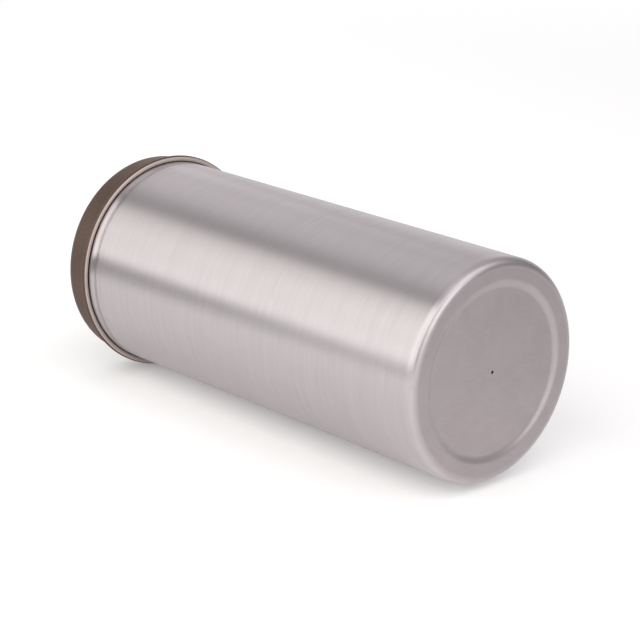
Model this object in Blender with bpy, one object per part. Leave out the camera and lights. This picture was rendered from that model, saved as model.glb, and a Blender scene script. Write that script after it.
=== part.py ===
# Double-walled round aluminium tin with a push-on lid, lying on its side.
# The base faces +X, the lid faces -X, and the rim of the lid touches the ground plane Z = 0.
# Every piece is turned round the tin's axis. An outline is a list of (radius, height) points.
# Heights run along the axis from the base towards the lid.

import math

import bmesh
import bpy

# Facets round the axis, segments in the turned corners, and the angle in degrees of a sharp edge
sides = 48
corner_segments = 5
small_corner_segments = 3
roll_segments = 5
curl_segments = 8
wave_segments = 4
sharp_angle = 30

# Play left between pieces that touch
fit_gap = 0.0003

# Outer shell
shell_radius = 0.0375
shell_length = 0.1663
shell_wall = 0.0008
base_corner_radius = 0.0032
standing_ring_width = 0.00345
panel_slope_width = 0.00345
panel_depth = 0.0009
vent_radius = 0.00055
edge_inner_radius = 0.0005
edge_land = 0.0002
groove_width = 0.004
groove_depth = 0.0005

# Neck collar
neck_step = 0.0018
neck_wall = 0.0022
neck_rise = 0.011
collar_web = 0.002
collar_skirt_wall = 0.0016
collar_skirt_length = 0.014

# Inner liner
liner_wall = 0.0006
liner_corner_radius = 0.003
rim_lip_length = 0.0012

# Base pad
pad_inner_radius = 0.0125
pad_width = 0.0125
pad_thickness = 0.0028

# Lid shell
lid_sheet = 0.0005
bead_radius = 0.001225
bead_overhang = 0.0008
curl_slit = 0.0003

# Lid insert
insert_wall = 0.0012
insert_skirt_length = 0.009
plug_clearance = 0.0006
plug_length = 0.0116
plug_foot_height = 0.0022
plug_foot_chamfer = 0.0006
plug_wall = 0.0015
seal_groove_depth = 0.0013
seal_groove_height = 0.0046

# Lid seal
seal_back = 0.0006
seal_lip_half_height = 0.0006
seal_lip_height_shares = (0.28, 0.72)

# Heights on the tin, from the plane of the standing ring
shell_inner_radius = shell_radius - shell_wall
edge_radius = edge_inner_radius + shell_wall
edge_centre_radius = shell_inner_radius - edge_inner_radius
edge_centre_height = shell_length - edge_radius
groove_centre = edge_centre_height - edge_land - groove_width / 2
corner_centre_radius = shell_radius - base_corner_radius
panel_slope_outer = corner_centre_radius - standing_ring_width
panel_radius = panel_slope_outer - panel_slope_width
rim_height = shell_length + neck_rise

# Radii of the neck, from the shell inwards and out again to the lid
collar_radius = shell_inner_radius - fit_gap
neck_radius = collar_radius - neck_step
neck_bore_radius = neck_radius - neck_wall
neck_middle_radius = (neck_radius + neck_bore_radius) / 2
neck_round = neck_wall / 2
liner_radius = neck_bore_radius - fit_gap
liner_bore_radius = liner_radius - liner_wall
roll_inner_radius = neck_round + fit_gap
roll_radius = roll_inner_radius + liner_wall
roll_height = rim_height - roll_radius

# Heights inside the base
pad_height = panel_depth + shell_wall + fit_gap
liner_floor = pad_height + pad_thickness + fit_gap

# The lid's corner is wrapped round the rolled rim, one layer over the other
insert_inner_corner = roll_radius + fit_gap
insert_corner = insert_inner_corner + insert_wall
lid_inner_corner = insert_corner + fit_gap
lid_corner = lid_inner_corner + lid_sheet
skirt_bore_radius = neck_middle_radius + insert_inner_corner
skirt_radius = neck_middle_radius + insert_corner
lid_inner_radius = neck_middle_radius + lid_inner_corner
lid_wall_radius = neck_middle_radius + lid_corner
bead_centre_radius = lid_inner_radius + bead_radius
bead_outer_radius = bead_centre_radius + bead_radius

# Heights on the lid, from the top of the rolled rim
lid_corner_height = -roll_radius
roof_underside = lid_corner_height + insert_inner_corner
roof_top = lid_corner_height + insert_corner
lid_underside = lid_corner_height + lid_inner_corner
lid_top = lid_corner_height + lid_corner
bead_centre_height = -neck_rise - bead_overhang + bead_radius
plug_radius = liner_bore_radius - plug_clearance
groove_floor_radius = plug_radius - seal_groove_depth
plug_bore_radius = groove_floor_radius - plug_wall
plug_end = roof_underside - plug_length
seal_groove_low = plug_end + plug_foot_height
seal_groove_high = seal_groove_low + seal_groove_height

# The whole tin
tin_length = rim_height + lid_top
axis_height = bead_outer_radius * math.cos(math.pi / sides)


def arc(centre, radius, start, end, segments):
    # Points on a round corner, both ends included. Angles are in degrees, 0 points away from the axis.
    points = []
    for step in range(segments + 1):
        angle = math.radians(start + (end - start) * step / segments)
        points.append((centre[0] + radius * math.cos(angle), centre[1] + radius * math.sin(angle)))
    return points


def wave(start, end, segments):
    # Points on an S-shaped slope between two levels, both ends included.
    points = []
    for step in range(segments + 1):
        share = step / segments
        rise = (1 - math.cos(math.pi * share)) / 2
        points.append((start[0] + (end[0] - start[0]) * share, start[1] + (end[1] - start[1]) * rise))
    return points


def rolled_groove(radius, upwards):
    # Points down into the shell's groove and out again, on a wall of the given radius.
    points = []
    for step in range(2 * wave_segments + 1):
        share = step / (2 * wave_segments)
        depth = groove_depth * (1 - math.cos(2 * math.pi * share)) / 2
        points.append((radius - depth, groove_centre + groove_width * (share - 1 / 2)))
    return points if upwards else points[::-1]


def make_material(name, colour, roughness, metallic):
    material = bpy.data.materials.new(name)
    material.use_nodes = True
    shader = material.node_tree.nodes["Principled BSDF"]
    shader.inputs["Base Color"].default_value = (*colour, 1)
    shader.inputs["Roughness"].default_value = roughness
    shader.inputs["Metallic"].default_value = metallic
    material.diffuse_color = (*colour, 1)
    return material


def make_empty(name, parent, height):
    empty = bpy.data.objects.new(name, None)
    empty.parent = parent
    empty.location = (0, 0, height)
    bpy.context.collection.objects.link(empty)
    return empty


def turn(name, outline, closed, parent, material):
    # Spins an outline round the axis. An open outline starts and ends on the axis.
    mesh = bpy.data.meshes.new(name)
    shape = bmesh.new()
    half_step = math.pi / sides
    verts = []
    for radius, height in outline:
        spot = (radius * math.cos(half_step), radius * math.sin(half_step), height)
        verts.append(shape.verts.new(spot))
    last = len(verts) if closed else len(verts) - 1
    edges = [shape.edges.new((verts[i], verts[(i + 1) % len(verts)])) for i in range(last)]
    bmesh.ops.spin(
        shape, geom=verts + edges, cent=(0, 0, 0), axis=(0, 0, 1), dvec=(0, 0, 0),
        angle=2 * math.pi, steps=sides, use_merge=True, use_duplicate=False,
    )
    bmesh.ops.remove_doubles(shape, verts=shape.verts, dist=fit_gap / 100)
    bmesh.ops.recalc_face_normals(shape, faces=shape.faces)
    if shape.calc_volume(signed=True) < 0:
        bmesh.ops.reverse_faces(shape, faces=shape.faces)
    shape.to_mesh(mesh)
    shape.free()
    mesh.shade_smooth()
    mesh.set_sharp_from_angle(angle=math.radians(sharp_angle))
    mesh.materials.append(material)
    piece = bpy.data.objects.new(name, mesh)
    piece.parent = parent
    bpy.context.collection.objects.link(piece)
    return piece


def make_outer_shell(parent):
    # One drawn can: base with a raised panel and a vent, rolled groove, turned-in top edge
    outline = [(vent_radius, panel_depth)]
    outline += wave((panel_radius, panel_depth), (panel_slope_outer, 0), small_corner_segments + 1)
    corner_centre = (corner_centre_radius, base_corner_radius)
    outline += arc(corner_centre, base_corner_radius, -90, 0, corner_segments)
    outline += rolled_groove(shell_radius, True)
    edge_centre = (edge_centre_radius, edge_centre_height)
    outline += arc(edge_centre, edge_radius, 0, 90, small_corner_segments + 1)
    shell_mouth_radius = neck_radius + fit_gap
    outline.append((shell_mouth_radius, shell_length))
    outline.append((shell_mouth_radius, shell_length - shell_wall))
    outline += arc(edge_centre, edge_inner_radius, 90, 0, small_corner_segments)
    outline += rolled_groove(shell_inner_radius, False)
    outline += arc(corner_centre, base_corner_radius - shell_wall, 0, -90, corner_segments)
    panel_floor = panel_depth + shell_wall
    outline += wave((panel_slope_outer, shell_wall), (panel_radius, panel_floor), small_corner_segments + 1)
    outline.append((vent_radius, panel_floor))
    material = make_material("brushed_aluminium", (0.62, 0.59, 0.60), 0.32, 1)
    return turn("outer_shell", outline, True, parent, material)


def make_neck_collar(parent):
    # A moulded ring: skirt inside the shell, web under the shell's top edge, neck above it
    web_top = shell_length - shell_wall - fit_gap
    corner = max(edge_inner_radius - fit_gap, 0)
    skirt_inner_radius = collar_radius - collar_skirt_wall
    skirt_end = web_top - collar_skirt_length
    outline = [(skirt_inner_radius, skirt_end), (collar_radius, skirt_end)]
    outline += rolled_groove(collar_radius, True)
    outline += arc((collar_radius - corner, web_top - corner), corner, 0, 90, 1)
    outline.append((neck_radius, web_top))
    outline += arc((neck_middle_radius, roll_height), neck_round, 0, 180, roll_segments)
    outline.append((neck_bore_radius, web_top - collar_web))
    outline.append((skirt_inner_radius, web_top - collar_web))
    material = make_material("dark_plastic", (0.045, 0.047, 0.050), 0.45, 0)
    return turn("neck_collar", outline, True, parent, material)


def make_inner_liner(parent):
    # The drawn can that holds the contents, with its mouth rolled out over the collar
    corner_centre = (liner_radius - liner_corner_radius, liner_floor + liner_corner_radius)
    roll_centre = (neck_middle_radius, roll_height)
    lip_end = roll_height - rim_lip_length
    outline = [(0, liner_floor)]
    outline += arc(corner_centre, liner_corner_radius, -90, 0, corner_segments)
    outline += arc(roll_centre, roll_inner_radius, 180, 0, roll_segments)
    outline.append((neck_middle_radius + roll_inner_radius, lip_end))
    outline.append((neck_middle_radius + roll_radius, lip_end))
    outline += arc(roll_centre, roll_radius, 0, 180, roll_segments)
    outline += arc(corner_centre, liner_corner_radius - liner_wall, 0, -90, corner_segments)
    outline.append((0, liner_floor + liner_wall))
    material = make_material("liner_aluminium", (0.72, 0.72, 0.72), 0.28, 1)
    return turn("inner_liner", outline, False, parent, material)


def make_base_pad(parent):
    # A soft ring between the base of the shell and the floor of the liner
    pad_radius = pad_inner_radius + pad_width
    pad_top = pad_height + pad_thickness
    outline = [
        (pad_inner_radius, pad_height), (pad_radius, pad_height),
        (pad_radius, pad_top), (pad_inner_radius, pad_top),
    ]
    material = make_material("pad_foam", (0.10, 0.10, 0.10), 0.9, 0)
    return turn("base_pad", outline, True, parent, material)


def make_lid_shell(parent):
    # A drawn cap whose mouth is curled outwards into a hollow bead
    corner_centre = (neck_middle_radius, lid_corner_height)
    bead_centre = (bead_centre_radius, bead_centre_height)
    curl_end = 360 + math.degrees(math.acos((lid_sheet + curl_slit) / bead_radius - 1))
    outline = [(0, lid_top)]
    outline += arc(corner_centre, lid_corner, 90, 0, corner_segments)
    outline += arc(bead_centre, bead_radius - lid_sheet, 180, curl_end, curl_segments)
    outline += arc(bead_centre, bead_radius, curl_end, 180, curl_segments)
    outline += arc(corner_centre, lid_inner_corner, 0, 90, corner_segments)
    outline.append((0, lid_underside))
    material = make_material("brown_lid", (0.138, 0.096, 0.080), 0.55, 0.3)
    return turn("lid_shell", outline, False, parent, material)


def make_lid_insert(parent):
    # The moulded inside of the lid: roof, skirt, and a plug with a groove for the seal
    corner_centre = (neck_middle_radius, lid_corner_height)
    skirt_end = roof_underside - insert_skirt_length
    outline = [(0, roof_top)]
    outline += arc(corner_centre, insert_corner, 90, 0, corner_segments)
    outline += [(skirt_radius, skirt_end), (skirt_bore_radius, skirt_end)]
    outline += arc(corner_centre, insert_inner_corner, 0, 90, corner_segments)
    outline += [
        (plug_radius, roof_underside), (plug_radius, seal_groove_high),
        (groove_floor_radius, seal_groove_high), (groove_floor_radius, seal_groove_low),
        (plug_radius, seal_groove_low), (plug_radius, plug_end + plug_foot_chamfer),
        (plug_radius - plug_foot_chamfer, plug_end), (plug_bore_radius, plug_end),
        (plug_bore_radius, roof_underside), (0, roof_underside),
    ]
    material = make_material("grey_plastic", (0.55, 0.55, 0.54), 0.5, 0)
    return turn("lid_insert", outline, False, parent, material)


def make_lid_seal(parent):
    # A silicone ring with two lips that reach for the wall of the liner
    seal_low = seal_groove_low + fit_gap
    seal_high = seal_groove_high - fit_gap
    seal_inner_radius = groove_floor_radius + fit_gap
    back_radius = seal_inner_radius + seal_back
    lip_radius = liner_bore_radius - fit_gap
    outline = [(seal_inner_radius, seal_low), (back_radius, seal_low)]
    for share in seal_lip_height_shares:
        middle = seal_low + (seal_high - seal_low) * share
        outline.append((back_radius, middle - seal_lip_half_height))
        outline.append((lip_radius, middle))
        outline.append((back_radius, middle + seal_lip_half_height))
    outline += [(back_radius, seal_high), (seal_inner_radius, seal_high)]
    material = make_material("seal_silicone", (0.70, 0.69, 0.66), 0.6, 0)
    return turn("lid_seal", outline, True, parent, material)


def build_tin():
    for old in list(bpy.data.objects):
        bpy.data.objects.remove(old, do_unlink=True)
    tin_axis = make_empty("tin_axis", None, 0)
    tin_axis.location = (tin_length / 2, 0, axis_height)
    tin_axis.rotation_euler = (0, math.radians(-90), 0)
    make_outer_shell(tin_axis)
    make_neck_collar(tin_axis)
    make_inner_liner(tin_axis)
    make_base_pad(tin_axis)
    lid_axis = make_empty("lid_axis", tin_axis, rim_height)
    make_lid_shell(lid_axis)
    make_lid_insert(lid_axis)
    make_lid_seal(lid_axis)
    bpy.context.view_layer.update()


build_tin()
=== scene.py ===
import math

import bmesh
import bpy
from mathutils import Matrix, Vector


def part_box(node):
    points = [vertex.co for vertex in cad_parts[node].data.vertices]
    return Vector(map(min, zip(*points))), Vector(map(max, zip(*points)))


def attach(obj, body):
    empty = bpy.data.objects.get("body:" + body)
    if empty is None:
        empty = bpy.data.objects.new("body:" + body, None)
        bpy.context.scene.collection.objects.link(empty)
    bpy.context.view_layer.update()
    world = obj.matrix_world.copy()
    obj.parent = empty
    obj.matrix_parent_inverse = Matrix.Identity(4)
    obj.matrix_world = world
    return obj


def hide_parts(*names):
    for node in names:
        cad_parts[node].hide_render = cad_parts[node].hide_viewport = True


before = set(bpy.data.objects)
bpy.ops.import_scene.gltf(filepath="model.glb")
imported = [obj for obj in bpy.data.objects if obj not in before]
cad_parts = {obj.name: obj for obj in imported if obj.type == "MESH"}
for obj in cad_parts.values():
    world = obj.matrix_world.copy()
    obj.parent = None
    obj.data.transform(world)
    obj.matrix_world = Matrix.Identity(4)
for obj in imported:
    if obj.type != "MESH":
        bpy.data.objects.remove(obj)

scene = bpy.context.scene
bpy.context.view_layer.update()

# the tin lies along X, base to the right; everything is turned round this axis
lidLow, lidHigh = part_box("lid_shell")
axisHeight = (lidLow.z + lidHigh.z) / 2
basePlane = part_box("outer_shell")[1].x
tinEnd = lidLow.x
fitGap = 0.0003   # between pieces that touch or are pressed together on the real tin


# camera and picture

cameraSizes = {
    "lens": 118.7, "sensor": 36, "nearest": 0.02,
    "right": (0.6711, 0.7413, 0.0),
    "up": (-0.2347, 0.2125, 0.9485),
    "forward": (-0.7031, 0.6366, -0.3166),
    "bodyRadius": 0.0375,
    "away": (1.4794, -0.4491, 17.8657),   # the base centre seen from the camera, in body radii
}


def standing(spot, right, up, forward):
    return Matrix.Translation(spot) @ Matrix((right, up, -forward)).transposed().to_4x4()


def addCamera(sizes):
    right, up, forward = (Vector(sizes[k]).normalized() for k in ("right", "up", "forward"))
    away = sizes["away"]
    offset = right * away[0] + up * away[1] + forward * away[2]
    spot = Vector((basePlane, 0, axisHeight)) - offset * sizes["bodyRadius"]
    data = bpy.data.cameras.new("photoCamera")
    data.lens = sizes["lens"]
    data.sensor_width = sizes["sensor"]
    data.clip_start = sizes["nearest"]
    camera = bpy.data.objects.new("photoCamera", data)
    camera.matrix_world = standing(spot, right, up, forward)
    scene.collection.objects.link(camera)
    scene.camera = camera


addCamera(cameraSizes)
scene.view_settings.view_transform = "Standard"
print("camera set")


# small helpers for node trees

def addNode(tree, kind, values=None, **settings):
    made = tree.nodes.new(kind)
    for name, value in settings.items():
        setattr(made, name, value)
    for socket, value in (values or {}).items():
        feed(tree, made.inputs[socket], value)
    return made


def feed(tree, socket, value):
    if isinstance(value, bpy.types.NodeSocket):
        tree.links.new(value, socket)
    else:
        socket.default_value = value


def maths(tree, operation, *terms):
    made = addNode(tree, "ShaderNodeMath", operation=operation)
    for socket, term in zip(made.inputs, terms):
        feed(tree, socket, term)
    return made.outputs[0]


def vectorMaths(tree, operation, *terms):
    made = addNode(tree, "ShaderNodeVectorMath", operation=operation)
    for socket, term in zip(made.inputs, terms):
        feed(tree, socket, term)
    return made.outputs[0]


def lengthOf(tree, vector):
    return addNode(tree, "ShaderNodeVectorMath", {0: vector}, operation="LENGTH").outputs["Value"]


def split(tree, vector):
    return addNode(tree, "ShaderNodeSeparateXYZ", {0: vector}).outputs


def remap(tree, value, low, high, newLow, newHigh, smooth=False):
    kind = "SMOOTHSTEP" if smooth else "LINEAR"
    made = addNode(tree, "ShaderNodeMapRange", interpolation_type=kind)
    for socket, term in zip(made.inputs, (value, low, high, newLow, newHigh)):
        feed(tree, socket, term)
    return made.outputs[0]


def noise(tree, vector, scale, detail, roughness):
    made = addNode(tree, "ShaderNodeTexNoise", {
        "Vector": vector, "Scale": scale, "Detail": detail, "Roughness": roughness})
    return made.outputs["Fac"]


def streaks(tree, centred, stretch, detail, roughness, scale=1.0):
    return noise(tree, vectorMaths(tree, "MULTIPLY", centred, stretch), scale, detail, roughness)


def fromNoise(tree, pattern, low, high, reach):
    # noise keeps near 0.5: what is within reach of it is spread from low to high
    return remap(tree, pattern, 0.5 - reach, 0.5 + reach, low, high)


def blendColours(tree, share, first, second):
    made = addNode(tree, "ShaderNodeMix", data_type="RGBA")
    for socket, term in ((0, share), (6, first), (7, second)):
        feed(tree, made.inputs[socket], term)
    return made.outputs[2]


def bump(tree, height, distance, strength):
    made = addNode(tree, "ShaderNodeBump", {"Height": height, "Distance": distance, "Strength": strength})
    return made.outputs["Normal"]


def startFinish(name, **plain):
    # a new material with the shader's plain values set, and coordinates centred on the tin's axis
    material = bpy.data.materials.new(name)
    material.use_nodes = True
    tree = material.node_tree
    shader = tree.nodes["Principled BSDF"]
    for socket, value in plain.items():
        shader.inputs[socket.replace("_", " ")].default_value = value
    place = addNode(tree, "ShaderNodeTexCoord").outputs["Object"]
    centred = vectorMaths(tree, "SUBTRACT", place, (0, 0, axisHeight))
    return material, tree, shader, centred


def dress(tree, shader, colour, roughness, normal):
    for socket, value in (("Base Color", colour), ("Roughness", roughness), ("Normal", normal)):
        feed(tree, shader.inputs[socket], value)


def radiusOf(tree, centred):
    return lengthOf(tree, vectorMaths(tree, "MULTIPLY", centred, (0, 1, 1)))


# finishes
# a cloud, grain or other spots: a noise with its scale per metre, detail and roughness
# lines, rings and flow: the same with three scales, for a noise drawn out along X, Y and Z
# a relief: the height of a bump in metres and its strength

colourReach = 0.15   # how far from its middle a noise goes before a colour is full
roughReach = 0.2   # and before the roughness is


def unevenness(tree, look, lines, cloud):
    return maths(tree, "ADD", fromNoise(tree, lines, look["lineSwing"], -look["lineSwing"], roughReach),
                 fromNoise(tree, cloud, -look["cloudSwing"], look["cloudSwing"], roughReach))


shellBrush = {
    "colour": (0.574, 0.533, 0.548, 1), "darkColour": (0.533, 0.495, 0.509, 1), "anisotropy": 0.9,
    "brushTurn": 0.25,   # a quarter turn from the tangent, which runs round the can
    "lineWidth": 0.00020, "lineLength": 0.0045, "lineDetail": (3, 0.6), "lineReach": 0.14,
    "fineScale": 0.5, "fineShare": 0.5, "coarseScale": 0.10, "coarseShare": 0.5,
    "cloud": (38, 3, 0.55), "relief": (0.000012, 0.5),
    "roughness": 0.40, "lineSwing": 0.025, "cloudSwing": 0.012,
    # the roller of the groove has rubbed the lid end smoother, at these distances from the base
    "rolledFrom": 0.1601, "rolledTo": 0.1613, "rolledSmoother": 0.07,
}


def brushedSide(look):
    material, tree, shader, centred = startFinish(
        "brushedSide", Metallic=1.0, Anisotropic=look["anisotropy"], Anisotropic_Rotation=look["brushTurn"])
    stretch = (1 / look["lineWidth"], 1 / look["lineLength"], 1 / look["lineLength"])
    fine = streaks(tree, centred, stretch, *look["lineDetail"], look["fineScale"])
    coarse = streaks(tree, centred, stretch, *look["lineDetail"], look["coarseScale"])
    grain = maths(tree, "ADD", maths(tree, "MULTIPLY", fine, look["fineShare"]),
                  maths(tree, "MULTIPLY", coarse, look["coarseShare"]))
    share = fromNoise(tree, grain, 0, 1, look["lineReach"])
    colour = blendColours(tree, share, look["darkColour"], look["colour"])
    rolledFrom, rolledTo = basePlane - look["rolledFrom"], basePlane - look["rolledTo"]
    rolled = remap(tree, split(tree, centred)[0], rolledTo, rolledFrom,
                   look["roughness"] - look["rolledSmoother"], look["roughness"], True)
    uneven = unevenness(tree, look, grain, noise(tree, centred, *look["cloud"]))
    dress(tree, shader, colour, maths(tree, "ADD", uneven, rolled), bump(tree, grain, *look["relief"]))
    around = vectorMaths(tree, "NORMALIZE", vectorMaths(tree, "CROSS_PRODUCT", (1, 0, 0), centred))
    feed(tree, shader.inputs["Tangent"], around)
    return material


# the base's colours are darker than the side's, though the shell is one drawn can: painted shade, for the
# dimmer floor that the base mirrors
baseBrush = {
    "colour": (0.422, 0.376, 0.389, 1), "darkColour": (0.392, 0.348, 0.360, 1), "anisotropy": 0.5,
    "lineWidth": 0.00016, "lineLength": 0.0026, "lineDepth": 0.025, "lineDetail": (3, 0.6), "fineScale": 0.5,
    "lineTilt": 18,   # degrees above the horizontal
    "lineShare": 0.55, "patches": (130, 4, 0.6), "patchFrom": 0.38, "patchTo": 0.66, "patchShare": 0.6,
    "cloud": (45, 2, 0.5), "relief": (0.00001, 0.5),
    "roughness": 0.36, "lineSwing": 0.02, "cloudSwing": 0.02,
    # the pressed slope round the panel is a little brighter: a painted highlight in its colour
    "bendRadius": 0.02912, "bendHalf": 0.00172, "bendPaintedHighlight": 1.10,
}


def brushedBase(look):
    material, tree, shader, centred = startFinish(
        "brushedBase", Metallic=1.0, Anisotropic=look["anisotropy"])
    tilt = math.radians(look["lineTilt"])
    turned = addNode(tree, "ShaderNodeMapping", {"Vector": centred, "Rotation": (tilt, 0, 0)}).outputs[0]
    stretch = (1 / look["lineDepth"], 1 / look["lineLength"], 1 / look["lineWidth"])
    fine = streaks(tree, turned, stretch, *look["lineDetail"], look["fineScale"])
    patches = noise(tree, centred, *look["patches"])
    patches = remap(tree, patches, look["patchFrom"], look["patchTo"], 0, look["patchShare"])
    share = maths(tree, "ADD", fromNoise(tree, fine, 0, look["lineShare"], colourReach), patches)
    metal = blendColours(tree, share, look["darkColour"], look["colour"])
    away = maths(tree, "ABSOLUTE", maths(tree, "SUBTRACT", radiusOf(tree, centred), look["bendRadius"]))
    # painted highlight: the colour is raised on the slope round the panel
    paintedSlopeHighlight = remap(tree, away, look["bendHalf"], look["bendHalf"] / 4, 1, look["bendPaintedHighlight"], True)
    uneven = unevenness(tree, look, fine, noise(tree, centred, *look["cloud"]))
    dress(tree, shader, vectorMaths(tree, "MULTIPLY", metal, paintedSlopeHighlight),
          maths(tree, "ADD", uneven, look["roughness"]), bump(tree, fine, *look["relief"]))
    across = addNode(tree, "ShaderNodeCombineXYZ", {"Y": math.sin(tilt), "Z": math.cos(tilt)}).outputs[0]
    feed(tree, shader.inputs["Tangent"], across)
    return material


# from here on, roughness is given for the low and the high spots of the pattern

pressedBend = {
    "colour": (0.562, 0.523, 0.537, 1), "shadedBaseColour": (0.441, 0.393, 0.408, 1), "shade": 0.96,
    "baseWithin": 0.0343, "sideBeyond": 0.0370,   # distances from the axis
    "cloud": (240, 3, 0.55), "roughness": (0.34, 0.30), "relief": (0.000006, 0.3),
}


def pressedEdge(look):
    # the bends of the shell, rubbed smoother than the brushed faces by the tools that made them
    material, tree, shader, centred = startFinish("pressedEdge", Metallic=1.0)
    cloud = noise(tree, centred, *look["cloud"])
    # round the corner the colour passes from the base's darker one, which is painted shade, to the side's
    outward = remap(tree, radiusOf(tree, centred), look["baseWithin"], look["sideBeyond"], 0, 1, True)
    metal = blendColours(tree, outward, look["shadedBaseColour"], look["colour"])
    dull = fromNoise(tree, cloud, look["shade"], 1, colourReach)
    dress(tree, shader, vectorMaths(tree, "MULTIPLY", metal, dull),
          fromNoise(tree, cloud, *look["roughness"], roughReach), bump(tree, cloud, *look["relief"]))
    return material


linerDraw = {
    "colour": (0.70, 0.70, 0.695, 1), "darkColour": (0.62, 0.62, 0.615, 1), "anisotropy": 0.4,
    "lines": ((40, 1600, 1600), 3, 0.6), "lineShare": 0.7,
    "rings": ((700, 25, 25), 2, 0.5), "ringShare": 0.3,
    "roughness": (0.36, 0.26), "relief": (0.000015, 0.4),
}
insideDraw = dict(linerDraw, colour=(0.60, 0.60, 0.60, 1), darkColour=(0.52, 0.52, 0.52, 1),
                  anisotropy=0.2, roughness=(0.48, 0.38))


def drawnMetal(name, look):
    material, tree, shader, centred = startFinish(name, Metallic=1.0, Anisotropic=look["anisotropy"])
    lines = maths(tree, "MULTIPLY", streaks(tree, centred, *look["lines"]), look["lineShare"])
    rings = maths(tree, "MULTIPLY", streaks(tree, centred, *look["rings"]), look["ringShare"])
    draw = maths(tree, "ADD", lines, rings)
    colour = blendColours(tree, fromNoise(tree, draw, 0, 1, colourReach), look["darkColour"], look["colour"])
    dress(tree, shader, colour,
          fromNoise(tree, draw, *look["roughness"], roughReach), bump(tree, draw, *look["relief"]))
    return material


lidCoat = {
    "colour": (0.124, 0.082, 0.065, 1), "darkColour": (0.084, 0.054, 0.043, 1),
    "wornColour": (0.20, 0.145, 0.12, 1), "metallic": 0.45, "specular": 0.3,
    "grain": (1 / 0.00042, 3, 0.6), "grainShare": 0.8, "mottle": (90, 2, 0.5), "mottleShare": 0.2,
    "roughness": (0.58, 0.46), "relief": (0.00006, 0.55),
    # the rounded corner is rubbed a little paler by hands and shelves
    "wearFrom": 0.0040, "wearFull": 0.0015,   # distances from the lid's flat top
    "wearOutside": 0.0335, "wearFullOutside": 0.0362,   # distances from the axis
    "spots": (1100, 4, 0.6), "spotFrom": 0.42, "spotTo": 0.66, "leastWear": 0.08, "mostWear": 0.42,
}


def blastedBrown(look):
    material, tree, shader, centred = startFinish(
        "blastedBrown", Metallic=look["metallic"], Specular_IOR_Level=look["specular"])
    grain = noise(tree, centred, *look["grain"])
    mottle = noise(tree, centred, *look["mottle"])
    share = maths(tree, "ADD", fromNoise(tree, grain, 0, look["grainShare"], colourReach),
                  fromNoise(tree, mottle, 0, look["mottleShare"], colourReach))
    coat = blendColours(tree, share, look["darkColour"], look["colour"])
    wearFrom, wearFull = tinEnd + look["wearFrom"], tinEnd + look["wearFull"]
    reach = remap(tree, split(tree, centred)[0], wearFrom, wearFull, 0, 1, True)
    outward = remap(tree, radiusOf(tree, centred), look["wearOutside"], look["wearFullOutside"], 0, 1, True)
    spots = noise(tree, centred, *look["spots"])
    spots = remap(tree, spots, look["spotFrom"], look["spotTo"], look["leastWear"], look["mostWear"])
    worn = maths(tree, "MULTIPLY", maths(tree, "MULTIPLY", reach, outward), spots)
    dress(tree, shader, blendColours(tree, worn, coat, look["wornColour"]),
          fromNoise(tree, grain, *look["roughness"], roughReach), bump(tree, grain, *look["relief"]))
    return material


# the bead's pale colour is a painted highlight, laid on the side of the bead that faces the base
beadEdge = {
    "colour": (0.541, 0.458, 0.424, 1), "darkColour": (0.466, 0.392, 0.361, 1), "metallic": 0.4,
    "grain": (1 / 0.0005, 3, 0.6), "grainShare": 0.5, "lines": ((3500, 90, 90), 2, 0.5), "lineShare": 0.5,
    "roughness": (0.45, 0.35), "relief": (0.00003, 0.4),
}


def paintedHighlightBead(look):
    material, tree, shader, centred = startFinish("paintedHighlightBead", Metallic=look["metallic"])
    grain = noise(tree, centred, *look["grain"])
    lines = streaks(tree, centred, *look["lines"])
    share = maths(tree, "ADD", fromNoise(tree, grain, 0, look["grainShare"], colourReach),
                  fromNoise(tree, lines, 0, look["lineShare"], colourReach))
    dress(tree, shader, blendColours(tree, share, look["darkColour"], look["colour"]),
          fromNoise(tree, grain, *look["roughness"], roughReach), bump(tree, grain, *look["relief"]))
    return material


collarPlastic = {
    "colour": (0.085, 0.088, 0.093, 1), "darkColour": (0.065, 0.068, 0.072, 1),
    "grain": (1 / 0.0003, 2, 0.5), "grainShare": 0.4, "flow": ((260, 30, 30), 3, 0.55), "flowShare": 0.6,
    "roughness": (0.47, 0.37), "relief": (0.00003, 0.5),
}
insertPlastic = dict(collarPlastic, colour=(0.58, 0.58, 0.565, 1), darkColour=(0.51, 0.51, 0.50, 1),
                     grain=(1 / 0.0004, 2, 0.5), roughness=(0.51, 0.41))


def mouldedPlastic(name, look):
    material, tree, shader, centred = startFinish(name)
    grain = noise(tree, centred, *look["grain"])
    flow = streaks(tree, centred, *look["flow"])
    share = maths(tree, "ADD", fromNoise(tree, grain, 0, look["grainShare"], colourReach),
                  fromNoise(tree, flow, 0, look["flowShare"], colourReach))
    dress(tree, shader, blendColours(tree, share, look["darkColour"], look["colour"]),
          fromNoise(tree, flow, *look["roughness"], roughReach), bump(tree, grain, *look["relief"]))
    return material


sealRubber = {
    "colour": (0.74, 0.73, 0.70, 1), "cloudColour": (0.60, 0.59, 0.56, 1),
    "cloud": (300, 3, 0.5), "cloudReach": 0.2,
    "dustColour": (0.42, 0.41, 0.39, 1), "dust": (2600, 2, 0.5), "dustFrom": 0.66, "dustTo": 0.74,
    "mostDust": 0.5,
    "glowThrough": 0.35, "glowDepth": 0.002, "specular": 0.4,
    "roughness": (0.42, 0.52), "relief": (0.00004, 0.3),
}


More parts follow.
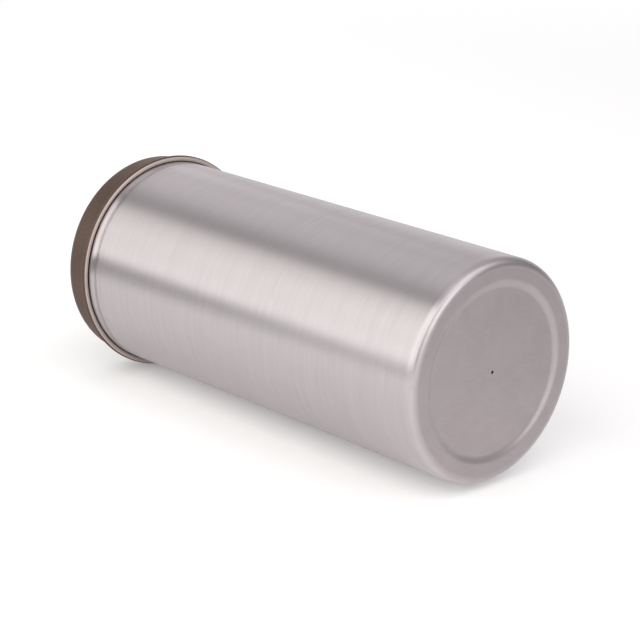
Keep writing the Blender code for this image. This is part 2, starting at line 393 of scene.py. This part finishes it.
def milkySilicone(look):
    material, tree, shader, centred = startFinish(
        "sealSilicone", Subsurface_Weight=look["glowThrough"], Subsurface_Scale=look["glowDepth"],
        Specular_IOR_Level=look["specular"])
    cloud = noise(tree, centred, *look["cloud"])
    dust = noise(tree, centred, *look["dust"])
    dust = remap(tree, dust, look["dustFrom"], look["dustTo"], 0, look["mostDust"])
    milkiness = fromNoise(tree, cloud, 0, 1, look["cloudReach"])
    milky = blendColours(tree, milkiness, look["cloudColour"], look["colour"])
    dress(tree, shader, blendColours(tree, dust, milky, look["dustColour"]),
          fromNoise(tree, cloud, *look["roughness"], roughReach), bump(tree, cloud, *look["relief"]))
    return material


padFoam = {
    "colour": (0.105, 0.105, 0.108, 1), "poreColour": (0.035, 0.035, 0.036, 1),
    "cells": 2200.0, "cellFrom": 0.1, "cellTo": 0.6, "specular": 0.2, "sheen": 0.15,
    "cloud": (500, 2, 0.5), "roughness": (0.85, 0.95), "relief": (0.00015, 0.7),
}


def closedFoam(look):
    material, tree, shader, centred = startFinish(
        "padFoam", Specular_IOR_Level=look["specular"], Sheen_Weight=look["sheen"])
    cells = addNode(tree, "ShaderNodeTexVoronoi", {"Vector": centred, "Scale": look["cells"]})
    pores = remap(tree, cells.outputs["Distance"], look["cellFrom"], look["cellTo"], 0, 1)
    rough = fromNoise(tree, noise(tree, centred, *look["cloud"]), *look["roughness"], roughReach)
    dress(tree, shader, blendColours(tree, pores, look["poreColour"], look["colour"]), rough,
          bump(tree, pores, *look["relief"]))
    return material


sideFinish = brushedSide(shellBrush)
baseFinish = brushedBase(baseBrush)
edgeFinish = pressedEdge(pressedBend)
linerFinish = drawnMetal("drawnLiner", linerDraw)
insideFinish = drawnMetal("bareInside", insideDraw)
lidFinish = blastedBrown(lidCoat)
beadFinish = paintedHighlightBead(beadEdge)
collarFinish = mouldedPlastic("darkCollar", collarPlastic)
insertFinish = mouldedPlastic("paleInsert", insertPlastic)
sealFinish = milkySilicone(sealRubber)
padFinish = closedFoam(padFoam)
print("finishes made")


# the lathe: a node tree that turns an outline round the tin's axis

finishNames = ("First Finish", "Second Finish", "Third Finish", "Fourth Finish")
latheSizes = {"round": 240, "sharpAngle": 32, "mergeWithin": 0.000001}


def makeLathe():
    tree = bpy.data.node_groups.new("turnOutline", "GeometryNodeTree")
    sockets = tree.interface
    sockets.new_socket("Outline", in_out="INPUT", socket_type="NodeSocketGeometry")
    sockets.new_socket("Steps Round", in_out="INPUT", socket_type="NodeSocketInt")
    for name in ("Base Plane", "Axis Height", "Sharp Angle"):
        sockets.new_socket(name, in_out="INPUT", socket_type="NodeSocketFloat")
    for name in finishNames:
        sockets.new_socket(name, in_out="INPUT", socket_type="NodeSocketMaterial")
    sockets.new_socket("Piece", in_out="OUTPUT", socket_type="NodeSocketGeometry")
    given = addNode(tree, "NodeGroupInput").outputs
    out = addNode(tree, "NodeGroupOutput")
    outline, steps = given["Outline"], given["Steps Round"]

    points = addNode(tree, "GeometryNodeAttributeDomainSize", {"Geometry": outline}, component="MESH")
    around = maths(tree, "ADD", steps, 1)
    made = addNode(tree, "GeometryNodeMeshGrid", {
        "Vertices X": points.outputs["Point Count"], "Vertices Y": around}).outputs["Mesh"]
    index = addNode(tree, "GeometryNodeInputIndex").outputs[0]

    # each row of grid points is one point of the outline, carried round
    # the 0.5 keeps the whole-number division clear of rounding
    row = maths(tree, "FLOOR", maths(tree, "DIVIDE", maths(tree, "ADD", index, 0.5), around))
    column = maths(tree, "SUBTRACT", index, maths(tree, "MULTIPLY", row, around))
    angle = maths(tree, "MULTIPLY", maths(tree, "DIVIDE", column, steps), 2 * math.pi)
    place = addNode(tree, "GeometryNodeInputPosition").outputs[0]
    spot = addNode(tree, "GeometryNodeSampleIndex", {"Geometry": outline, "Value": place, "Index": row},
                   data_type="FLOAT_VECTOR", domain="POINT").outputs["Value"]
    radius, height = split(tree, spot)[:2]
    sideways = maths(tree, "MULTIPLY", radius, maths(tree, "SINE", angle))
    upwards = maths(tree, "MULTIPLY", radius, maths(tree, "COSINE", angle))
    turned = addNode(tree, "ShaderNodeCombineXYZ", {
        "X": maths(tree, "SUBTRACT", given["Base Plane"], height),
        "Y": sideways,
        "Z": maths(tree, "ADD", given["Axis Height"], upwards)}).outputs[0]
    made = addNode(tree, "GeometryNodeSetPosition", {"Geometry": made, "Position": turned}).outputs[0]

    # the zone of each strip of faces comes from the outline point that it starts at
    strip = maths(tree, "FLOOR", maths(tree, "DIVIDE", maths(tree, "ADD", index, 0.5), steps))
    zone = addNode(tree, "GeometryNodeInputNamedAttribute", {"Name": "zone"}, data_type="INT")
    zone = zone.outputs["Attribute"]
    there = addNode(tree, "GeometryNodeSampleIndex", {"Geometry": outline, "Value": zone, "Index": strip},
                    data_type="INT", domain="POINT").outputs["Value"]
    made = addNode(tree, "GeometryNodeStoreNamedAttribute", {
        "Geometry": made, "Name": "zone", "Value": there}, data_type="INT", domain="FACE").outputs[0]
    made = addNode(tree, "GeometryNodeMergeByDistance", {
        "Geometry": made, "Distance": latheSizes["mergeWithin"]}).outputs[0]
    bend = addNode(tree, "GeometryNodeInputMeshEdgeAngle").outputs["Unsigned Angle"]
    soft = maths(tree, "LESS_THAN", bend, given["Sharp Angle"])
    made = addNode(tree, "GeometryNodeSetShadeSmooth", {
        "Geometry": made, "Shade Smooth": soft}, domain="EDGE").outputs[0]
    made = addNode(tree, "GeometryNodeRealizeInstances", {"Geometry": made}).outputs[0]
    for number, name in enumerate(finishNames):
        here = maths(tree, "COMPARE", zone, number, 0.5)
        made = addNode(tree, "GeometryNodeSetMaterial", {
            "Geometry": made, "Selection": here, "Material": given[name]}).outputs[0]
    feed(tree, out.inputs[0], made)
    return tree


lathe = makeLathe()


def drawOutline(name, outline):
    drawing = bpy.data.meshes.new(name + "Outline")
    corners = [(radius, height, 0) for radius, height, zone in outline]
    lines = [(i, i + 1) for i in range(len(outline) - 1)]
    drawing.from_pydata(corners, lines, [])
    zones = drawing.attributes.new("zone", "INT", "POINT")
    zones.data.foreach_set("value", [zone for radius, height, zone in outline])
    blank = bpy.data.objects.new(name + "Outline", drawing)
    scene.collection.objects.link(blank)
    return blank


def turnPiece(name, outline, finishes, body, node):
    # outline: (radius, height, zone) points, ends joined where the piece is a ring
    # finishes: one for each zone, in the order of the zones' numbers
    blank = drawOutline(name, outline)
    turning = blank.modifiers.new("lathe", "NODES")
    turning.node_group = lathe
    wanted = {"Steps Round": latheSizes["round"], "Base Plane": basePlane, "Axis Height": axisHeight,
              "Sharp Angle": math.radians(latheSizes["sharpAngle"])}
    unused = len(finishNames) - len(finishes)
    wanted.update(zip(finishNames, finishes + finishes[-1:] * unused))
    for item in lathe.interface.items_tree:
        if item.name in wanted:
            turning[item.identifier] = wanted[item.name]
    bpy.context.view_layer.update()
    shown = blank.evaluated_get(bpy.context.evaluated_depsgraph_get())
    mesh = bpy.data.meshes.new_from_object(shown)
    blank.modifiers.remove(turning)
    bpy.data.objects.remove(blank)
    faceOutwards(mesh)
    piece = bpy.data.objects.new(name, mesh)
    mesh.name = name
    scene.collection.objects.link(piece)
    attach(piece, body)
    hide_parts(node)
    print(name, len(mesh.polygons), "faces")


def faceOutwards(mesh):
    work = bmesh.new()
    work.from_mesh(mesh)
    bmesh.ops.recalc_face_normals(work, faces=work.faces)
    if work.calc_volume(signed=True) < 0:
        bmesh.ops.reverse_faces(work, faces=work.faces)
    loose = sum(1 for e in work.edges if not e.is_manifold)
    if loose:
        print("open edges:", loose)
    work.to_mesh(mesh)
    work.free()


# outline tools; a height is a distance from the base's plane
# angles are in degrees, 0 points away from the axis and 90 towards the lid

def arc(centre, radius, start, end, steps, zone=0):
    turns = [math.radians(start + (end - start) * i / steps) for i in range(steps + 1)]
    return [(centre[0] + radius * math.cos(a), centre[1] + radius * math.sin(a), zone) for a in turns]


def slope(start, end, steps, zone=0):
    shares = [i / steps for i in range(steps + 1)]
    return [(start[0] + (end[0] - start[0]) * t,
             start[1] + (end[1] - start[1]) * (1 - math.cos(math.pi * t)) / 2, zone) for t in shares]


def ring(outline):
    return outline + outline[:1]


# outer shell: one drawn can

shell = {
    "radius": 0.0375, "length": 0.1663, "wall": 0.0008,
    "corner": 0.0032, "brushTo": -38,   # degrees round the corner, where the brushing of the side ends
    "ringWidth": 0.00345, "slopeWidth": 0.00345, "panelDepth": 0.0009, "vent": 0.00055, "ventRound": 0.0002,
    "grooveWidth": 0.0046, "grooveDepth": 0.00032,
    "edgeLand": 0.0001, "edgeInner": 0.0002, "neckStep": 0.0018, "mouthChamfer": 0.0001,
}
shell["bore"] = shell["radius"] - shell["wall"]
shell["edge"] = shell["edgeInner"] + shell["wall"]
shell["grooveCentre"] = shell["length"] - shell["edge"] - shell["edgeLand"] - shell["grooveWidth"] / 2
collarRadius = shell["bore"] - fitGap
neckRadius = collarRadius - shell["neckStep"]
sideZone, baseZone, insideZone, edgeZone = range(4)


def groove(radius, steps, zone=0):
    # the shallow rolled groove below the lid, on a wall of the given radius
    shares = [i / steps for i in range(steps + 1)]
    return [(radius - shell["grooveDepth"] * (1 - math.cos(2 * math.pi * t)) / 2,
             shell["grooveCentre"] + shell["grooveWidth"] * (t - 0.5), zone) for t in shares]


def shellOutline(s):
    cornerMiddle = (s["radius"] - s["corner"], s["corner"])
    edgeMiddle = (s["bore"] - s["edgeInner"], s["length"] - s["edge"])
    slopeOuter = cornerMiddle[0] - s["ringWidth"]
    panelRadius = slopeOuter - s["slopeWidth"]
    floor = s["panelDepth"] + s["wall"]
    mouth = neckRadius + fitGap
    lip = s["ventRound"]
    points = arc((s["vent"] + lip, s["panelDepth"] + lip), lip, 180, 270, 4, baseZone)
    points += slope((panelRadius, s["panelDepth"]), (slopeOuter, 0), 18, baseZone)
    points += arc(cornerMiddle, s["corner"], -90, s["brushTo"], 12, edgeZone)
    points += arc(cornerMiddle, s["corner"], s["brushTo"], 0, 9, sideZone)
    points += groove(s["radius"], 24, sideZone)
    points += arc(edgeMiddle, s["edge"], 0, 90, 14, sideZone)
    points += [(mouth + s["mouthChamfer"], s["length"], edgeZone),
               (mouth, s["length"] - s["mouthChamfer"], insideZone),
               (mouth, s["length"] - s["wall"], insideZone)]
    points += arc(edgeMiddle, s["edgeInner"], 90, 0, 6, insideZone)
    points += groove(s["bore"], 24, insideZone)[::-1]
    points += arc(cornerMiddle, s["corner"] - s["wall"], 0, -90, 10, insideZone)
    points += slope((slopeOuter, s["wall"]), (panelRadius, floor), 10, insideZone)
    points += [(s["vent"], floor, insideZone)]
    return ring(points)


turnPiece("outerShell", shellOutline(shell), (sideFinish, baseFinish, insideFinish, edgeFinish),
          "tin", "outer_shell")


# neck collar and inner liner

collar = {"wall": 0.0022, "rise": 0.011, "web": 0.002, "skirtWall": 0.0016, "skirtLength": 0.014,
          "chamfer": 0.0002}
liner = {"wall": 0.0006, "corner": 0.003, "lip": 0.0012, "floor": 0.0051}
neckBore = neckRadius - collar["wall"]
neckMiddle = (neckRadius + neckBore) / 2
linerRadius = neckBore - fitGap
linerBore = linerRadius - liner["wall"]
rollInner = collar["wall"] / 2 + fitGap
rollOuter = rollInner + liner["wall"]
rimHeight = shell["length"] + collar["rise"]
rollHeight = rimHeight - rollOuter
satinZone, hiddenZone = range(2)


def collarOutline(s):
    chamfer = s["chamfer"]
    webTop = shell["length"] - shell["wall"] - fitGap
    webUnder = webTop - s["web"]
    skirtBore = collarRadius - s["skirtWall"]
    skirtEnd = webTop - s["skirtLength"]
    points = [(skirtBore, skirtEnd + chamfer, 0), (skirtBore + chamfer, skirtEnd, 0),
              (collarRadius - chamfer, skirtEnd, 0), (collarRadius, skirtEnd + chamfer, 0)]
    points += groove(collarRadius, 16)
    points += [(collarRadius, webTop - chamfer, 0), (collarRadius - chamfer, webTop, 0)]
    points += [(neckRadius, webTop, 0)]
    points += arc((neckMiddle, rollHeight), s["wall"] / 2, 0, 180, 16)
    points += [(neckBore, webUnder, 0), (skirtBore, webUnder, 0)]
    return ring(points)


def linerOutline(s):
    cornerMiddle = (linerRadius - s["corner"], s["floor"] + s["corner"])
    rollMiddle = (neckMiddle, rollHeight)
    lipEnd = rollHeight - s["lip"]
    points = [(0, s["floor"], hiddenZone)]
    points += arc(cornerMiddle, s["corner"], -90, 0, 10, hiddenZone)
    points += arc(rollMiddle, rollInner, 180, 0, 16, satinZone)
    points += [(neckMiddle + rollInner, lipEnd, satinZone), (neckMiddle + rollOuter, lipEnd, satinZone)]
    points += arc(rollMiddle, rollOuter, 0, 180, 28, satinZone)
    points += arc(cornerMiddle, s["corner"] - s["wall"], 0, -90, 12, satinZone)
    points += [(0, s["floor"] + s["wall"], satinZone)]
    return points


turnPiece("neckCollar", collarOutline(collar), (collarFinish,), "tin", "neck_collar")
turnPiece("innerLiner", linerOutline(liner), (linerFinish, insideFinish),
          "tin", "inner_liner")


# foam ring under the liner

pad = {"bore": 0.0125, "radius": 0.0250, "bottom": 0.0020, "thickness": 0.0028, "round": 0.0004}


def padOutline(s):
    bend = s["round"]
    inner, outer = s["bore"] + bend, s["radius"] - bend
    low, high = s["bottom"] + bend, s["bottom"] + s["thickness"] - bend
    points = arc((inner, low), bend, 180, 270, 4)
    points += arc((outer, low), bend, 270, 360, 4)
    points += arc((outer, high), bend, 0, 90, 4)
    points += arc((inner, high), bend, 90, 180, 4)
    return ring(points)


turnPiece("basePad", padOutline(pad), (padFinish,), "tin", "base_pad")


# lid: drawn cap with its curled bead, moulded insert and seal

lid = {"sheet": 0.0005, "tube": 0.001225, "overhang": 0.0008, "slit": 0.0003, "curlShort": 4,
       "paintedHighlightFrom": 310, "paintedHighlightTo": 230,   # degrees round the bead, where the pale painted highlight lies, on the side facing the base
       "coatEnd": 0.0014, "beadStart": 0.0003}   # heights above the middle of the bead
insert = {"wall": 0.0012, "skirt": 0.009, "plugPlay": 0.0006, "plugLength": 0.0116, "foot": 0.0022,
          "chamfer": 0.0006, "boreChamfer": 0.0003, "roofRound": 0.0006,
          "plugWall": 0.0015, "sealDeep": 0.0013, "sealHigh": 0.0046}
seal = {"back": 0.0006, "lipHalf": 0.0006, "lipPlaces": (0.28, 0.72), "tipRound": 0.00012, "tipTurn": 65}
insertCornerInner = rollOuter + fitGap
insertCorner = insertCornerInner + insert["wall"]
lidCornerInner = insertCorner + fitGap
lidCorner = lidCornerInner + lid["sheet"]
lidWallInner = neckMiddle + lidCornerInner
beadMiddle = (lidWallInner + lid["tube"], rimHeight - collar["rise"] - lid["overhang"] + lid["tube"])
beadTube = (lidHigh.z - lidLow.z) / 2 - beadMiddle[0]   # the round bead stays inside the faceted one
plugRadius = linerBore - insert["plugPlay"]
sealFloor = plugRadius - insert["sealDeep"]
roofUnder = rollHeight + insertCornerInner
plugEnd = roofUnder - insert["plugLength"]
sealLow = plugEnd + insert["foot"]
sealHigh = sealLow + insert["sealHigh"]
coatZone, paintedHighlightZone, bareZone, curlZone = range(4)


def lidOutline(s):
    cornerMiddle = (neckMiddle, rollHeight)
    sheetTube = beadTube - s["sheet"]
    slitAngle = math.degrees(math.acos((s["sheet"] + s["slit"]) / s["tube"] - 1))
    curlEnd = 360 + slitAngle - s["curlShort"]
    wallOuter = lidWallInner + s["sheet"]
    coatEnd = beadMiddle[1] + s["coatEnd"]
    beadStart = beadMiddle[1] + s["beadStart"]
    points = [(0, rollHeight + lidCorner, coatZone)]
    points += arc(cornerMiddle, lidCorner, 90, 0, 20, coatZone)
    points += [(wallOuter, coatEnd, coatZone), (wallOuter, beadStart, bareZone)]
    points += arc(beadMiddle, sheetTube, 180, curlEnd, 36, bareZone)
    points += arc(beadMiddle, beadTube, curlEnd, s["paintedHighlightFrom"], 26, coatZone)
    # painted highlight: the pale colour on the bead's side that faces the base
    points += arc(beadMiddle, beadTube, s["paintedHighlightFrom"], s["paintedHighlightTo"], 20, paintedHighlightZone)
    points += arc(beadMiddle, beadTube, s["paintedHighlightTo"], 180, 10, curlZone)
    points += [(lidWallInner, beadStart, bareZone)]
    points += arc(cornerMiddle, lidCornerInner, 0, 90, 12, bareZone)
    points += [(0, rollHeight + lidCornerInner, bareZone)]
    return points


def insertOutline(s):
    cornerMiddle = (neckMiddle, rollHeight)
    skirtEnd = roofUnder - s["skirt"]
    plugBore = sealFloor - s["plugWall"]
    bend = s["roofRound"]
    points = [(0, rollHeight + insertCorner, 0)]
    points += arc(cornerMiddle, insertCorner, 90, 0, 12)
    points += [(neckMiddle + insertCorner, skirtEnd, 0), (neckMiddle + insertCornerInner, skirtEnd, 0)]
    points += arc(cornerMiddle, insertCornerInner, 0, 90, 12)
    plug = ((plugRadius, roofUnder), (plugRadius, sealHigh), (sealFloor, sealHigh), (sealFloor, sealLow),
            (plugRadius, sealLow),
            (plugRadius, plugEnd + s["chamfer"]), (plugRadius - s["chamfer"], plugEnd),
            (plugBore + s["boreChamfer"], plugEnd), (plugBore, plugEnd + s["boreChamfer"]),
            (plugBore, roofUnder - bend))
    points += [(radius, height, 0) for radius, height in plug]
    points += arc((plugBore - bend, roofUnder - bend), bend, 0, 90, 4)
    points += [(0, roofUnder, 0)]
    return points


def sealOutline(s):
    low, high = sealLow + fitGap, sealHigh - fitGap
    inner = sealFloor + fitGap
    back = inner + s["back"]
    tip = linerBore - fitGap - s["tipRound"]
    points = [(inner, low, 0), (back, low, 0)]
    for share in s["lipPlaces"]:
        middle = low + (high - low) * share
        points += [(back, middle - s["lipHalf"], 0)]
        points += arc((tip, middle), s["tipRound"], -s["tipTurn"], s["tipTurn"], 6)
        points += [(back, middle + s["lipHalf"], 0)]
    points += [(back, high, 0), (inner, high, 0)]
    return ring(points)


turnPiece("lidShell", lidOutline(lid), (lidFinish, beadFinish, insideFinish, lidFinish),
          "lid", "lid_shell")
turnPiece("lidInsert", insertOutline(insert), (insertFinish,), "lid", "lid_insert")
turnPiece("lidSeal", sealOutline(seal), (sealFinish,), "lid", "lid_seal")


# pale floor, studio lamps and the soft grey sky that the metal mirrors

floorLook = {
    "size": 10.0, "colour": (0.92, 0.92, 0.92, 1), "glow": 0.18, "mirroredGlow": 0.06,
    "whiteFrom": 0.45, "whiteTo": 0.90,   # metres from the middle, where the seen floor turns plain white
    # a painted glow, seen only in reflections: beside the base the mirrored floor is brightest close by and
    # falls off behind the axis
    "besideFrom": 0.06, "besideTo": 0.10, "besideNear": 0.13, "besideFar": 0.0,
    "fallFrom": 0.04, "fallTo": 0.12,
}


def addFloor(s):
    half = s["size"] / 2
    mesh = bpy.data.meshes.new("floor")
    corners = [(-half, -half, 0), (half, -half, 0), (half, half, 0), (-half, half, 0)]
    mesh.from_pydata(corners, [], [(0, 1, 2, 3)])
    floor = bpy.data.objects.new("floor", mesh)
    scene.collection.objects.link(floor)
    paint = bpy.data.materials.new("palePaper")
    paint.use_nodes = True
    tree = paint.node_tree
    tree.nodes.clear()
    rays = addNode(tree, "ShaderNodeLightPath").outputs
    seen = rays["Is Camera Ray"]
    mirrored = maths(tree, "MAXIMUM", rays["Is Glossy Ray"], rays["Is Transmission Ray"])
    place = addNode(tree, "ShaderNodeTexCoord").outputs["Object"]
    x, y = split(tree, place)[:2]
    # painted light on the floor, for reflections only: a glow near the base that fades behind the axis
    near, far = s["besideNear"] - s["mirroredGlow"], s["besideFar"] - s["mirroredGlow"]
    beside = maths(tree, "MULTIPLY", remap(tree, x, s["besideFrom"], s["besideTo"], 0, 1, True),
                   remap(tree, y, s["fallFrom"], s["fallTo"], near, far))
    mirroredGlow = maths(tree, "MULTIPLY", mirrored, maths(tree, "ADD", beside, s["mirroredGlow"]))
    level = maths(tree, "ADD", maths(tree, "MULTIPLY", seen, s["glow"]), mirroredGlow)
    paper = addNode(tree, "ShaderNodeBsdfDiffuse", {"Color": s["colour"]}).outputs[0]
    glow = addNode(tree, "ShaderNodeEmission", {"Color": (1, 1, 1, 1), "Strength": level}).outputs[0]
    mixed = addNode(tree, "ShaderNodeAddShader", {0: paper, 1: glow}).outputs[0]
    away = remap(tree, lengthOf(tree, place), s["whiteFrom"], s["whiteTo"], 0, 1, True)
    white = addNode(tree, "ShaderNodeEmission", {"Color": (1, 1, 1, 1), "Strength": 1.0}).outputs[0]
    shown = addNode(tree, "ShaderNodeMixShader", {
        0: maths(tree, "MULTIPLY", seen, away), 1: mixed, 2: white}).outputs[0]
    addNode(tree, "ShaderNodeOutputMaterial", {0: shown})
    mesh.materials.append(paint)


skyLook = {
    "frontTint": (1.0, 0.995, 1.0, 1), "topTint": (1.0, 0.98, 0.995, 1), "tintFrom": 40, "tintTo": 75,
    # brightness against the angle in degrees round the X axis, from the front horizon over the top
    "left": ((0, 1.30), (14, 0.55), (28, 0.35), (42, 0.42), (56, 0.04), (70, 0.18), (84, 0.33), (98, 0.38),
             (112, 0.40), (128, 0.64), (146, 0.84), (164, 1.31), (180, 1.50)),
    "middle": ((0, 0.89), (14, 0.48), (28, 0.35), (42, 0.44), (56, 0.40), (70, 0.60), (86, 0.84),
               (102, 0.70), (118, 0.46), (134, 0.50), (150, 0.30), (165, 0.30), (180, 0.32)),
    "right": ((0, 0.48), (35, 0.32), (70, 1.00), (90, 1.30), (100, 1.62), (114, 1.62), (130, 1.22),
              (140, 0.92), (149, 0.60), (158, 0.43), (170, 0.40), (180, 0.32)),
    # the share of X in the looking direction, over which one side passes into the next
    "middleFrom": -0.36, "middleTo": -0.05, "rightFrom": 0.10, "rightTo": 0.50,
}


def skyRamp(tree, angle, stops):
    made = addNode(tree, "ShaderNodeValToRGB", {"Fac": maths(tree, "DIVIDE", angle, 180)})
    steps = made.color_ramp.elements
    most = max(level for degrees, level in stops)
    for number, (degrees, level) in enumerate(stops):
        step = steps[number] if number < 2 else steps.new(degrees / 180)
        step.position = degrees / 180
        shade = level / most
        step.color = (shade, shade, shade, 1)
    return maths(tree, "MULTIPLY", made.outputs["Color"], most)


def addSky(s):
    world = bpy.data.worlds.new("studio")
    scene.world = world
    world.use_nodes = True
    tree = world.node_tree
    back = tree.nodes["Background"]
    x, y, z = split(tree, addNode(tree, "ShaderNodeTexCoord").outputs["Generated"])
    angle = maths(tree, "MULTIPLY", maths(tree, "ARCTAN2", z, maths(tree, "MULTIPLY", y, -1)), 180 / math.pi)
    level = skyRamp(tree, angle, s["left"])
    for side in ("middle", "right"):
        share = remap(tree, x, s[side + "From"], s[side + "To"], 0, 1, True)
        before = maths(tree, "MULTIPLY", level, maths(tree, "SUBTRACT", 1.0, share))
        level = maths(tree, "ADD", before, maths(tree, "MULTIPLY", skyRamp(tree, angle, s[side]), share))
    # the camera sees plain white in place of the bands
    seen = addNode(tree, "ShaderNodeLightPath").outputs["Is Camera Ray"]
    unseen = maths(tree, "SUBTRACT", 1.0, seen)
    height = remap(tree, angle, s["tintFrom"], s["tintTo"], 0, 1)
    tint = blendColours(tree, maths(tree, "MULTIPLY", height, unseen), s["frontTint"], s["topTint"])
    feed(tree, back.inputs["Color"], tint)
    feed(tree, back.inputs["Strength"], maths(tree, "ADD", maths(tree, "MULTIPLY", level, unseen), seen))


lamps = {
    "topBack": {"place": (-0.80, 0.35, 0.55), "aim": (-0.05, 0, 0.04), "size": (0.6, 0.5),
                "level": 0.54, "tint": (1.0, 0.99, 0.97)},
    "topLid": {"place": (-0.35, 0.05, 0.70), "aim": (-0.05, 0, 0.04), "size": (0.4, 0.4),
               "level": 0.34, "tint": (1.0, 0.99, 0.97)},
    "sideSoftbox": {"place": (1.28, 0.02, 0.345), "aim": (0.05, 0.02, 0.08), "size": (1.20, 0.66),
                    "level": 0.84, "tint": (1.0, 0.985, 0.97)},
}
# two lamps in front, side by side along the tin: where each starts and ends along X, and its level
frontLamps = {
    "low": 7.0, "high": 64.0, "away": 0.80,   # degrees above the horizon, metres from the tin's axis
    "tint": (1.0, 0.99, 0.945),
    "stretches": {"frontLeft": (-1.8, -0.25, 1.04), "frontRight": (-0.25, 0.8, 1.62)},
}


def addLamp(name, lamp):
    width, height = lamp["size"]
    data = bpy.data.lights.new(name, "AREA")
    data.shape = "RECTANGLE"
    data.size, data.size_y = width, height
    data.energy = lamp["level"] * math.pi * width * height
    data.color = lamp["tint"]
    light = bpy.data.objects.new(name, data)
    forward = (Vector(lamp["aim"]) - Vector(lamp["place"])).normalized()
    # the lamp's width lies along X, or along Y where it shines mostly along X
    across = Vector((1, 0, 0)) if abs(forward.x) < 0.7 else Vector((0, 1, 0))
    across = (across - forward * across.dot(forward)).normalized()
    light.matrix_world = standing(lamp["place"], across, across.cross(forward), forward)
    light.visible_camera = False
    scene.collection.objects.link(light)


def frontLamp(s, start, end, level):
    low, high = math.radians(s["low"]), math.radians(s["high"])
    lift = (low + high) / 2
    middle = (start + end) / 2
    place = (middle, -s["away"] * math.cos(lift), axisHeight + s["away"] * math.sin(lift))
    size = (end - start, 2 * s["away"] * math.tan((high - low) / 2))
    return {"place": place, "aim": (middle, 0, axisHeight), "size": size, "level": level, "tint": s["tint"]}


cardLook = {
    "place": -0.24, "grey": (0.05, 0.05, 0.05, 1),
    "outline": ((-0.12, 0.068), (-0.12, 0.006), (-0.23, 0.006), (-1.0, 0.068)),
}


def addCard(s):
    # a dark card that shows only in reflections, for the thin line between floor and front lamps
    mesh = bpy.data.meshes.new("darkCard")
    corners = [(x, s["place"], z) for x, z in s["outline"]]
    mesh.from_pydata(corners, [], [range(len(corners))])
    card = bpy.data.objects.new("darkCard", mesh)
    scene.collection.objects.link(card)
    card.visible_camera = card.visible_diffuse = card.visible_shadow = False
    paint = bpy.data.materials.new("greyCard")
    paint.use_nodes = True
    shader = paint.node_tree.nodes["Principled BSDF"]
    shader.inputs["Base Color"].default_value = s["grey"]
    shader.inputs["Roughness"].default_value = 1.0
    mesh.materials.append(paint)


addFloor(floorLook)
addSky(skyLook)
addCard(cardLook)
for name, (start, end, level) in frontLamps["stretches"].items():
    addLamp(name, frontLamp(frontLamps, start, end, level))
for name, lamp in lamps.items():
    addLamp(name, lamp)
print("studio lit")
